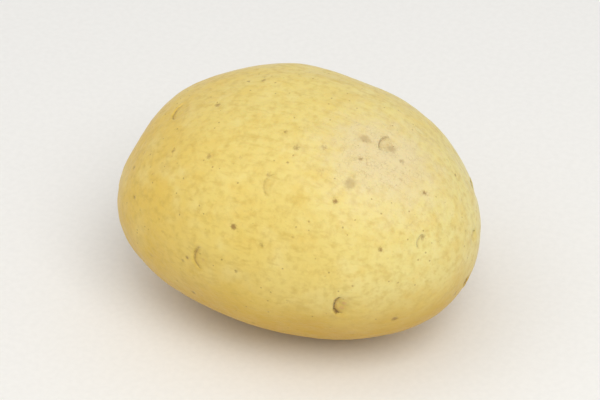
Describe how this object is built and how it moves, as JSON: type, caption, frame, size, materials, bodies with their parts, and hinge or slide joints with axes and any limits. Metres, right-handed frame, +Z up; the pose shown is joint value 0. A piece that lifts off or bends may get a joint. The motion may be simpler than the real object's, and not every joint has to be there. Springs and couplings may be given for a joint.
{
  "type": "potato",
  "caption": "Whole raw potato: an oval yellow tuber with smooth skin, shallow eyes and small dark specks, lying on a small flat spot.",
  "frame": {"origin": "on the surface that the potato rests on, under the middle of its bounding box", "axes": "+X along the tuber to its rose end, where the buds crowd together; +Z up; -Y is the front"},
  "size_m": [0.088, 0.0658, 0.0576],
  "materials": {
    "potato_skin": "satin"
  },
  "bodies": {
    "root": {"potato_tuber": "potato_skin"}
  },
  "joints": []
}
